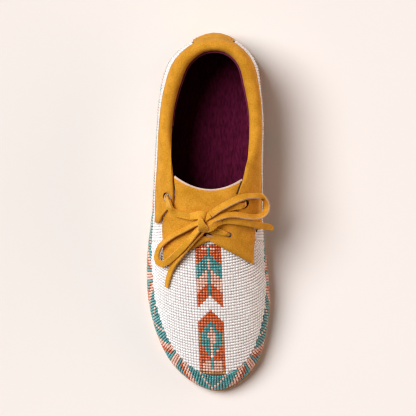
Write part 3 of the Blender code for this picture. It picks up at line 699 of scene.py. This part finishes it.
rim = lower_edge()
fine_count = round(lengths_of(rim)[-1] / FINE_STEP)
fine = points_at(rim, lengths_of(rim), np.linspace(0, lengths_of(rim)[-1], fine_count))
lane_lengths = lengths_of([half_way_up(point) for point in fine])
count = round(lane_lengths[-1] / PITCH)
steps = [TOE_SHIFT + lane_lengths[-1] * k / count for k in range(count)]
starts = points_at(fine, lane_lengths, steps)
stitches = []
for start in starts:
    place, out = on_skin(start)
    climb = []
    place, out = step_along(place, climb_way(out), EDGE_ROOM)
    for row in range(CLIMB_ROWS):
        climb.append((place, out))
        place, out = step_along(place, climb_way(out), PITCH)
    stitches.append(climb)

sewn_places = KDTree(count * CLIMB_ROWS)
for i, climb in enumerate(stitches):
    after = stitches[(i + 1) % count]
    before = stitches[i - 1]
    column = min(i, count - i)
    rows = LANE_ROWS + (QUARTER_ROWS if climb[0][0].y > QUARTER_START_Y else 0)
    for row in range(rows):
        place, out = climb[row]
        sewn_places.insert(place, i * CLIMB_ROWS + row)
        round_way = after[row][0] - before[row][0]
        wide = min(0.0020, 0.46 * round_way.length)
        if row < LANE_ROWS:
            colour = border_colour(column, row)
            sew(place, out, climb_way(out), colour, 0.00198, wide)
        else:
            sew(place, out, round_way, "white", 0.98 * round_way.length / 2, 0.00200)
sewn_places.balance()
print(count, "stitches round the sole,", len(beads), "beads")

# %% [markdown]
# ### The vamp
# The white field and the coloured strip down its middle share one grid. Each row starts at the
# strip's middle and goes out to both sides over the skin, as far as the border and the quarters.
# It runs level at first and then bends back towards the heel, as sewn rows do over a rounded
# last.

# %% The strip's pattern
STRIP_COLUMNS = 4
STRIP_ROWS = 45
ARROW_ROW = 23  # the row at the tip of the lower figure
COLOURS = {"t": "teal", "o": "orange", "p": "pink", "g": "gold", "w": "white"}
# The lower figure, one word a row, from the middle column out to the side.
ARROW = (
    "owwww oowww oooww oooow toooo ttooo pttoo pttoo "
    "ppttg ppttg ptttg ptttg ptttg pttoo pttoo ptooo "
    "woooo toooo tpppo tpppo tpppo ppppg ggggg"
).split()
# Beads where the sewer's two sides differ, by (row, column).
SLIPS = {(29, 2): "o", (33, 1): "p", (34, 1): "p", (37, 2): "p", (41, -3): "o"}


def strip_colour(column, row):
    """The colour at a bead of the strip, rows counted from the tongue, columns from the middle."""
    off = abs(column)
    if row >= ARROW_ROW:
        return COLOURS[SLIPS.get((row, column)) or ARROW[row - ARROW_ROW][off]]
    if off == 0:
        return "pink" if row == 0 or 5 <= row <= 8 else "teal" if row <= 17 else "white"
    if row == 1 and off <= 2:
        return "pink"
    if row == 0:
        return "orange"
    band = row - off
    if 3 <= band <= 7:
        return "teal"
    if 8 <= band <= 12:
        return "pink"
    return "orange" if band <= 17 else "white"


print(len(ARROW), "rows in the lower figure")

# %% Sew the vamp
FIRST_ROW_Y = -0.0272
ROW_PITCH = 0.00209
HIDDEN_ROWS = 9
BARE_ROW = -3  # rows behind this one have no beads near the middle, under the tongue
BARE_COLUMNS = 12
LANE_ROOM = 0.00176  # a row stops this near a bead of the border, or of the quarters
STRIP_ROOM = 0.00140  # and the strip's own beads run a little nearer to the border
QUARTER_ROOM = 0.0013
ROW_BEND = 0.42
ROW_REACH = 34


def row_bend(column):
    """How far a row has turned towards the heel, this many beads from the middle."""
    share = max(0.0, (column - STRIP_COLUMNS) / ROW_REACH)
    return ROW_BEND * min(1.0, share) ** 0.8


for row in range(-HIDDEN_ROWS, STRIP_ROWS + 3):
    y = FIRST_ROW_Y - ROW_PITCH * (row - 1)
    middle, out = on_skin(skin_tree.ray_cast(Vector((strip_x(y), y, 0.1)), -UP)[0])
    for side in (1, -1):
        place, normal = middle, out
        for column in range(0, 60):
            bend = row_bend(column)
            way = Vector((side * cos(bend), sin(bend), 0))
            if column:
                place, normal = step_along(place, way, PITCH)
            _, index, near = sewn_places.find(place)
            in_strip = column <= STRIP_COLUMNS and 0 <= row <= STRIP_ROWS
            room = QUARTER_ROOM
            if index % CLIMB_ROWS < LANE_ROWS:
                room = STRIP_ROOM if in_strip else LANE_ROOM
            if near < room or place.z < 0.006:
                break
            if column == 0 and side < 0 or row < BARE_ROW and column < BARE_COLUMNS:
                continue
            colour = "white"
            if in_strip:
                colour = strip_colour(side * column, row)
            if colour == "white":
                sew(place, normal, way, colour, 0.00208, 0.00204)
            else:
                sew(place, normal, way, colour, 0.00199, 0.00197)
print(len(beads), "beads in all")

# %% [markdown]
# ### From places to glass
# One bead is a round barrel of 64 triangles with its ends drawn in. numpy sets a copy on every
# place at once, with a small random turn and shift, because no two sewn beads sit quite alike.
# Each colour becomes one mesh, and each bead carries its own tone as an attribute.

# %% One bead
def bead_shape():
    bm = bmesh.new()
    bmesh.ops.create_uvsphere(bm, u_segments=8, v_segments=5, radius=0.5)
    for vert in bm.verts:
        flat = abs(vert.co.z) > 0.45
        near_end = 0.3 < abs(vert.co.z) <= 0.45
        if flat:
            vert.co.z *= 0.84
        elif near_end:
            vert.co.x *= 1.25
            vert.co.y *= 1.25
    verts = np.array([vert.co for vert in bm.verts])
    verts /= verts.max(axis=0) - verts.min(axis=0)
    faces = [[vert.index for vert in face.verts] for face in bm.faces]
    bm.free()
    return verts, faces


BEAD_VERTS, BEAD_FACES = bead_shape()
print(len(BEAD_VERTS), "vertices in a bead")


# %% String the beads
def bead_mesh(name, group):
    """All the beads of a group as one mesh with a tone for each bead."""
    points, tones = [], []
    for bead in group:
        tilt = Matrix.Rotation(radians(chance.uniform(-5, 5)), 3, bead.out)
        lean = Matrix.Rotation(radians(chance.uniform(-6, 6)), 3, bead.along)
        along = tilt @ bead.along
        out = lean @ bead.out
        side = along.cross(out).normalized()
        out = side.cross(along)
        grow = chance.uniform(0.96, 1.03)
        axes = np.array([
            side * bead.wide * grow, out * BEAD_HIGH * grow, along * bead.long * grow,
        ])
        drift = Vector((chance.uniform(-1, 1), chance.uniform(-1, 1), 0)) * 0.00007
        drift -= drift.dot(bead.out) * bead.out
        points.append(BEAD_VERTS @ axes + np.array(bead.place + drift))
        tones.append(chance.random())
    per = len(BEAD_VERTS)
    mesh = bpy.data.meshes.new(name)
    faces = [
        [corner + k * per for corner in face] for k in range(len(group)) for face in BEAD_FACES
    ]
    mesh.from_pydata(np.concatenate(points), [], faces)
    tone = mesh.attributes.new("tone", "FLOAT", "POINT")
    tone.data.foreach_set("value", np.repeat(np.array(tones, np.float32), per))
    mesh.shade_smooth()
    return mesh


# %% [markdown]
# Opaque glass is bright and a little glossy. The tone attribute moves each bead between a
# darker and a lighter shade of its colour, as in a mixed batch.

# %% Glass finishes
def glass_finish(name, dark, light, roughness=0.28):
    material, tree, shader = new_finish(
        name, roughness, Coat_Weight=1.0, Coat_Roughness=0.06, Specular_IOR_Level=0.7
    )
    tone = tree.nodes.new("ShaderNodeAttribute")
    tone.attribute_name = "tone"
    colour = add_ramp(tree, tone.outputs["Fac"], [(0.0, dark), (1.0, light)])
    tree.links.new(colour, shader.inputs["Base Color"])
    return material


GLASS = {
    "white": glass_finish("glass_white", (0.92, 0.905, 0.905), (0.995, 0.98, 0.985), 0.3),
    "teal": glass_finish("glass_teal", (0.035, 0.28, 0.29), (0.085, 0.45, 0.47)),
    "orange": glass_finish("glass_orange", (0.62, 0.070, 0.006), (0.86, 0.160, 0.020)),
    "pink": glass_finish("glass_pink", (0.88, 0.46, 0.35), (0.98, 0.65, 0.53), 0.35),
    "gold": glass_finish("glass_gold", (0.44, 0.19, 0.055), (0.62, 0.30, 0.10)),
}
WHITE_PARTS = 3
bead_pieces = []
for colour, finish in GLASS.items():
    group = [bead for bead in beads if bead.colour == colour]
    parts = WHITE_PARTS if colour == "white" else 1
    size = -(-len(group) // parts)
    for part in range(parts):
        share = group[part * size : (part + 1) * size]
        name = f"beads_{colour}" + (f"_{part + 1}" if parts > 1 else "")
        piece = link(name, bead_mesh(name, share), finish)
        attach(piece, "root")
        bead_pieces.append(piece)
        print(name, len(share), "beads")

# %% [markdown]
# ## Suede pieces
# The cuff, the tongue and the heel tab keep their solid shapes. A welded copy of each gets two
# finishes: suede on its faces and the pale raw edge where the sheet was cut. The cut faces form
# narrow bands between sharp edges, so a flood over the smooth edges finds them.

# %% Find the cut edges of a sheet
CUT_WIDTH = 0.0026


def cut_edges(bm):
    """The bands of faces that are only as wide as the sheet is thick."""
    left = set(bm.faces)
    bands = []
    while left:
        seed = left.pop()
        patch, queue = [seed], [seed]
        while queue:
            face = queue.pop()
            for edge in face.edges:
                if len(edge.link_faces) != 2 or edge.calc_face_angle(0) > radians(42):
                    continue
                for other in edge.link_faces:
                    if other in left:
                        left.remove(other)
                        patch.append(other)
                        queue.append(other)
        inside = set(patch)
        area = sum(face.calc_area() for face in patch)
        rim = sum(
            edge.calc_length()
            for face in patch
            for edge in face.edges
            if not all(other in inside for other in edge.link_faces)
        )
        if rim and 2 * area / rim < CUT_WIDTH:
            bands += patch
    return bands


def suede_piece(name, node, finish, is_raw, chamfer=None):
    """A welded copy of a solid, with raw edges where is_raw says so of a place on a cut."""
    bm = welded_copy(node)
    for face in cut_edges(bm):
        face.material_index = int(is_raw(face.calc_center_median()))
    if chamfer:
        rims = [edge for edge in bm.edges if chamfer(edge)]
        bmesh.ops.bevel(
            bm, geom=rims, offset=CHAMFER, offset_type="OFFSET", affect="EDGES", segments=1,
            profile=0.5, material=1,
        )
        print(name, len(rims), "edges chamfered")
    piece = link(name, finish_mesh(name, bm, 42), finish, SUEDE_EDGE)
    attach(piece, "root")
    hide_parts(node)
    return piece


# %% [markdown]
# The cuff is folded, so its inner edge shows no cut, but an eyelet and a front end do. The heel
# tab's edges are rubbed as dark as its face. The tongue was cut with a slant along its back edge,
# which shows from above as a pale line.

# %% Cuff, tongue and heel tab
CHAMFER = 0.0010
TONGUE_BACK_Y = 0.0145


def cuff_cut(spot):
    at_eyelet = spot.y < 0.015 and abs(spot.x + 0.0295) < 0.0025
    return at_eyelet or spot.x > 0 and spot.y < 0.003


def tongue_back(edge):
    """True for the upper rim of the tongue's back edge."""
    if len(edge.link_faces) != 2 or edge.verts[0].co.y < TONGUE_BACK_Y:
        return False
    first, second = sorted(edge.link_faces, key=lambda face: face.normal.z)
    return second.normal.z > 0.5 and first.normal.z < 0.4 and first.normal.y > 0.6


cuff = suede_piece("cuff_suede", "cuff", SUEDE, cuff_cut)
tongue = suede_piece("tongue_suede", "tongue", TONGUE_SUEDE, lambda spot: True, tongue_back)
heel_tab = suede_piece("heel_tab_suede", "heel_tab", SUEDE, lambda spot: False)

# %% [markdown]
# The stretches of lace that lie on the tongue keep their solid shape too, with the lace's own
# suede on them.

# %% Lace bars
bars = welded_copy("lace_bars")
for face in bars.faces:
    x = face.calc_center_median().x
    face.material_index = int(abs(face.normal.z) < 0.6 and (x > 0.0205 or x < -0.0275))
lace_bars = link("lace_bars_suede", finish_mesh("lace_bars_suede", bars, 50), LACE, LACE_GOLD)
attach(lace_bars, "root")
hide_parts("lace_bars")

# %% [markdown]
# ## Inside and underneath
# The lining is a thin cloth shell just inside the upper. The inner faces of a welded copy are
# pushed a little inwards, and Solidify gives the cloth its thickness.

# %% Lining
LINING_GAP = 0.00025
LINING_THICK = 0.0003
lining_bm = skin_of("upper", lambda face: not looks_out(face) and face.normal.z > -0.6)
for vert in lining_bm.verts:
    vert.co += LINING_GAP * vert.normal
lining = link("lining_shell", finish_mesh("lining_shell", lining_bm), LINING)
wall = lining.modifiers.new("Cloth", "SOLIDIFY")
wall.thickness = LINING_THICK
wall.offset = 1
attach(lining, "root")
print("lining", len(lining.data.polygons), "faces")

# %% [markdown]
# A burgundy binding runs round the inside of the cuff, behind the eyelets. Rays from the middle
# of the opening find the cuff's inside all round the heel, and a narrow strip follows them.

# %% Binding
OPENING_MIDDLE = Vector((0.0052, 0.0, 0.0))
BINDING_FRONT_Y = 0.028
BINDING_FAN_Y = 0.085
BINDING_DROP = 0.0008
BINDING_WIDTH = 0.0018
BINDING_THICK = 0.0010
TOP_EDGE = ((0.035, 0.0508), (0.050, 0.0500), (0.065, 0.0495), (0.085, 0.0510), (0.110, 0.0550),
            (0.131, 0.0580))


def top_edge(y):
    return float(np.interp(y, [row[0] for row in TOP_EDGE], [row[1] for row in TOP_EDGE]))


def inside_cuff(start, way):
    """A place just inside the cuff, level with the upper's top edge."""
    spot = start.copy()
    for _ in range(3):
        spot.z = top_edge(spot.y) - BINDING_DROP
        begin = Vector((start.x, start.y, spot.z))
        hit = cover_trees["cuff"].ray_cast(begin, way)[0]
        spot = hit - 0.3 * BINDING_WIDTH * way
    return spot


binding_line = []
for k in range(10):
    y = BINDING_FRONT_Y + (BINDING_FAN_Y - BINDING_FRONT_Y) * k / 10
    binding_line.append(inside_cuff(OPENING_MIDDLE + Vector((0, y, 0)), Vector((-1, 0, 0))))
for k in range(25):
    turn = pi * k / 24
    way = Vector((-cos(turn), sin(turn), 0))
    binding_line.append(inside_cuff(OPENING_MIDDLE + Vector((0, BINDING_FAN_Y, 0)), way))
for k in range(9, -1, -1):
    y = BINDING_FRONT_Y + (BINDING_FAN_Y - BINDING_FRONT_Y) * k / 10
    binding_line.append(inside_cuff(OPENING_MIDDLE + Vector((0, y, 0)), Vector((1, 0, 0))))
binding_line = smooth_route(binding_line, 0.003)
binding_count = len(binding_line)
binding_widths = (
    (0.0, 0.0003), (0.15, 0.0004), (0.34, BINDING_WIDTH), (0.66, BINDING_WIDTH), (0.85, 0.0004),
    (1.0, 0.0003),
)
binding = thong(
    "lining_binding", binding_line, [UP] * binding_count, blend(binding_widths, binding_count),
    BINDING_THICK, BINDING,
)
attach(binding, "root")
print("binding", round(length_of(binding_line) * 1000), "mm")

# %% [markdown]
# ## Seams and their painted shade
# Where the tongue and its wings meet the cuff, a dark strip of painted shade fills the gap. Under
# the hole by the knot a bit of the lace's underside can be seen, and at the outer eyelet the cut
# edge of the lace turns down into its hole. Small stitches hold the seam and the sides of
# the heel tab: each is a short bead of thread, laid along its line.

# %% Painted seam shade and underside of the lace
def over_skin(points, lift, tree=skin_tree):
    """A smooth line over the skin, or over another surface, lifted off it."""
    line = smooth_route([(x, y, 0.05) for x, y in points], 0.001)
    found = []
    for point in line:
        place, out = tree.ray_cast(Vector((point.x, point.y, 0.1)), -UP)[:2]
        if place is None:
            continue
        if tree is skin_tree:
            place, out = on_skin(place)
        found.append((place + lift * out, out))
    return [spot for spot, _ in found], [out for _, out in found]


def skin_strip(name, points, lift, width, thickness, finish, tree=skin_tree):
    line, outs = over_skin(points, lift, tree)
    piece = thong(name, line, outs, [width] * len(line), thickness, finish)
    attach(piece, "root")
    return piece


OUTER_SEAM = ((-0.0318, 0.0024), (-0.0334, -0.0018), (-0.0349, -0.0064), (-0.0351, -0.0080))
# Dark strips of painted shade lie in the gaps where the tongue and its wings meet the cuff.
skin_strip("seam_shade_outer", OUTER_SEAM, 0.0012, 0.0036, 0.0008, SEAM_SHADE)
skin_strip("seam_shade_inner", ((0.0334, -0.0104), (0.0350, -0.0138)), 0.0012, 0.0030, 0.0008, SEAM_SHADE)
skin_strip(
    "lace_underside", ((-0.0012, -0.0170), (0.0014, -0.0177), (0.0034, -0.0181)), 0.0012, 0.0020,
    0.0008, LACE_EDGE,
)
skin_strip(
    "seam_shade_tongue", ((0.0244, 0.0222), (0.0234, 0.0195), (0.0221, 0.0160), (0.0209, 0.0128)),
    0.0003, 0.0011, 0.0005, SEAM_SHADE, cover_trees["tongue"],
)
EYELET_EDGE = ((-0.0304, 0.0131), (-0.0317, 0.0108), (-0.0312, 0.0083), (-0.0294, 0.0060),
               (-0.0278, 0.0046))
left = cover_trees["cuff"].ray_cast(Vector((-0.0345, 0.0095, 0.1)), -UP)[0]
right = cover_trees["cuff"].ray_cast(Vector((-0.0262, 0.0150, 0.1)), -UP)[0]
rise = (right.z - left.z) / (right.x - left.x)
edge_line = [Vector((x, y, left.z + rise * (x - left.x) + 0.0002)) for x, y in EYELET_EDGE]
edge_line = smooth_route(edge_line, 0.0008)
edge_widths = blend(((0.0, 0.0005), (0.4, 0.0013), (1.0, 0.0006)), len(edge_line))
eyelet_edge = thong(
    "eyelet_edge", edge_line, [UP] * len(edge_line), edge_widths, 0.0008, LACE_EDGE,
)
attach(eyelet_edge, "root")
print("eyelet edge at", round(left.z, 4), round(right.z, 4))

# %% Stitches
STITCH_LONG = 0.0018
STITCH_THICK = 0.0006
STITCH_STEP = 0.0028


def stitch_shape():
    bm = bmesh.new()
    bmesh.ops.create_uvsphere(bm, u_segments=6, v_segments=5, radius=0.5)
    verts = np.array([vert.co for vert in bm.verts])
    faces = [[vert.index for vert in face.verts] for face in bm.faces]
    bm.free()
    return verts, faces


def add_stitches(points, faces, line, outs, turned=False):
    """Append a stitch at every step along a line, along it or turned across it."""
    verts, shape = stitch_shape()
    lengths = lengths_of(line)
    for at in np.arange(STITCH_STEP / 2, lengths[-1], STITCH_STEP):
        place = points_at(line, lengths, [at])[0]
        i = min(range(len(line)), key=lambda k: abs(lengths[k] - at))
        ahead = (line[min(i + 1, len(line) - 1)] - line[max(i - 1, 0)]).normalized()
        across = ahead.cross(outs[i]).normalized()
        along, side = (across, ahead) if turned else (ahead, across)
        axes = np.array([side * STITCH_THICK, outs[i] * STITCH_THICK, along * STITCH_LONG])
        start = len(points)
        points.extend(verts @ axes + np.array(place))
        faces.extend([corner + start for corner in face] for face in shape)


tab_tree = cover_trees["heel_tab"]


def tab_line(side_x):
    """A line up the heel tab, a little in from one of its sides."""
    line, outs = [], []
    for k in range(30):
        z = 0.0075 + (0.046 - 0.0075) * k / 29
        hit, out, _, _ = tab_tree.ray_cast(Vector((side_x, 0.2, z)), Vector((0, -1, 0)))
        if hit is not None:
            line.append(hit)
            outs.append(out)
    return line, outs


stitch_points, stitch_faces = [], []
line, outs = over_skin(OUTER_SEAM, 0.0017)
add_stitches(stitch_points, stitch_faces, line, outs, turned=True)
for side_x in (-0.0085, 0.0170):
    add_stitches(stitch_points, stitch_faces, *tab_line(side_x))
stitch_mesh = bpy.data.meshes.new("stitching")
stitch_mesh.from_pydata(stitch_points, [], stitch_faces)
stitch_mesh.shade_smooth()
stitching = link("stitching", stitch_mesh, THREAD)
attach(stitching, "root")
print(len(stitch_mesh.polygons), "faces in the stitches")

# %% [markdown]
# ## Sole
# The sole is a welded copy too. Its rim is trimmed back under the beads at the heel, and drawn
# out a little on the inner side of the toe, where a thin tan line shows. The insole and the
# upper keep their solid shapes, and only get their finishes.

# %% Sole and the solids that stay
TRIM_FROM_Y = 0.020
TRIM_TO_Y = 0.070
TRIM_IN = 0.0012
DRAWN_FROM_Y = -0.080
DRAWN_TO_Y = -0.118
DRAWN_OUT = 0.0010


def rim_change(y):
    """How far the sole's rim moves outwards at this place along the shoe."""
    ways = ((DRAWN_TO_Y, DRAWN_OUT), (DRAWN_FROM_Y, 0.0), (TRIM_FROM_Y, 0.0), (TRIM_TO_Y, -TRIM_IN))
    return float(np.interp(y, [place for place, _ in ways], [change for _, change in ways]))


sole_bm = welded_copy("sole")
sole_bm.normal_update()
for vert in sole_bm.verts:
    away = Vector((vert.normal.x, vert.normal.y, 0))
    if away.length > 0.3:
        change = rim_change(vert.co.y)
        if change > 0:
            change *= min(max(0.5 + away.x, 0), 1)
        vert.co += change * away.normalized()
sole = link("sole_hide", finish_mesh("sole_hide", sole_bm), RAWHIDE)
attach(sole, "root")
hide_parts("sole")
for node, finish in (("insole", LINING), ("upper", CANVAS_AND_SHADE)):
    nodes[node].data.materials.clear()
    nodes[node].data.materials.append(finish)

# %% [markdown]
# ## Stage
# A pale cream floor, one large soft light from the outer side and above, a warm low one from the
# inner side, and a dim warm sky. A narrow film filter keeps each of the small beads crisp.

# %% Floor and light
FLOOR_SIZE = 3.0
floor_bm = bmesh.new()
bmesh.ops.create_grid(floor_bm, x_segments=1, y_segments=1, size=FLOOR_SIZE / 2)
FLOOR = plain_finish("floor", (0.961, 0.914, 0.893), (0.971, 0.924, 0.903), 0.9, 3, 0.0)
floor = link("floor", finish_mesh("floor", floor_bm), FLOOR)

KEY_FROM = Vector((-0.53, 0.27, 0.80))
key_data = bpy.data.lights.new("key", "SUN")
key_data.angle = radians(37)
key_data.energy = 3.30
key_data.color = (1.0, 1.0, 0.985)
key = bpy.data.objects.new("key", key_data)
key.rotation_euler = KEY_FROM.to_track_quat("Z", "Y").to_euler()
bpy.context.scene.collection.objects.link(key)

FILL_FROM = Vector((0.95, 0.10, 0.07))
fill_data = bpy.data.lights.new("fill", "SUN")
fill_data.angle = radians(70)
fill_data.energy = 1.85
fill_data.color = (1.0, 0.74, 0.60)
fill = bpy.data.objects.new("fill", fill_data)
fill.rotation_euler = FILL_FROM.to_track_quat("Z", "Y").to_euler()
bpy.context.scene.collection.objects.link(fill)

world = bpy.data.worlds.new("sky")
world.use_nodes = True
sky = world.node_tree.nodes["Background"]
sky.inputs["Color"].default_value = (1.0, 0.62, 0.48, 1)
sky.inputs["Strength"].default_value = 0.05
bpy.context.scene.world = world
bpy.context.scene.view_settings.view_transform = "Standard"
bpy.context.scene.cycles.filter_width = 1.2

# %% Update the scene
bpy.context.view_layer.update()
